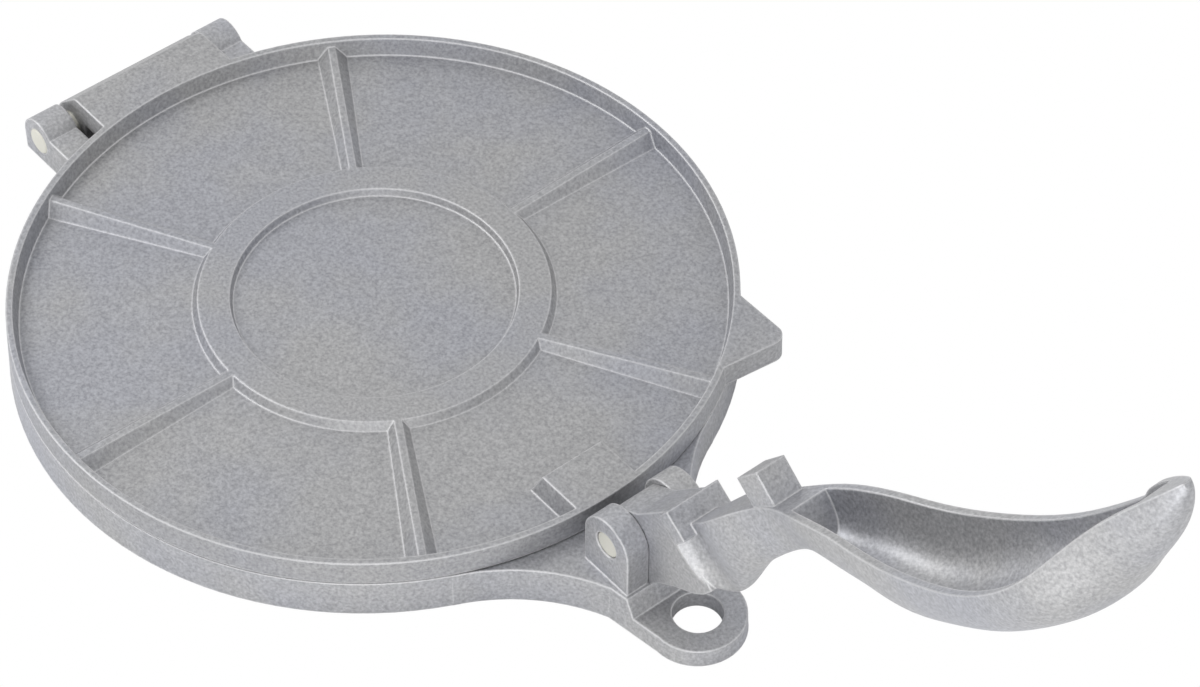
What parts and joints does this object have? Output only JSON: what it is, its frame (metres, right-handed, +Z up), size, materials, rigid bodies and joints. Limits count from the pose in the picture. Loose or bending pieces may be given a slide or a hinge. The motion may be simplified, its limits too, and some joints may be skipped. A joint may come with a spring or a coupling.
{
  "type": "tortilla press",
  "caption": "Hand tortilla press: hinged round lid with ribs and ring, round base with tongue and ears, and a fold-over lever with a hollow spoon grip.",
  "frame": {"origin": "centre of the base disc, on its underside, where it rests on the table", "axes": "+Z up; +X from the disc towards the lever; both pins lie along Y"},
  "size_m": [0.4072, 0.203, 0.1871],
  "materials": {
    "cast_aluminium": "bare matte casting with a fine grain",
    "pin_steel": "plain drawn rod"
  },
  "bodies": {
    "base": {"base_plate": "cast_aluminium", "hinge_pin": "pin_steel", "lever_pin": "pin_steel"},
    "lid": {"upper_plate": "cast_aluminium"},
    "lever_arm": {"lever": "cast_aluminium"}
  },
  "joints": [
    {"name": "lid_hinge", "type": "hinge", "parent": "base", "child": "lid", "pos_m": [-0.1155, 0, 0.0072], "axis": [0, -1, 0], "range_deg": [0, 135]},
    {"name": "lever_pivot", "type": "hinge", "parent": "base", "child": "lever_arm", "pos_m": [0.116, 0, 0.0235], "axis": [0, -1, 0], "range_deg": [0, 131]}
  ]
}
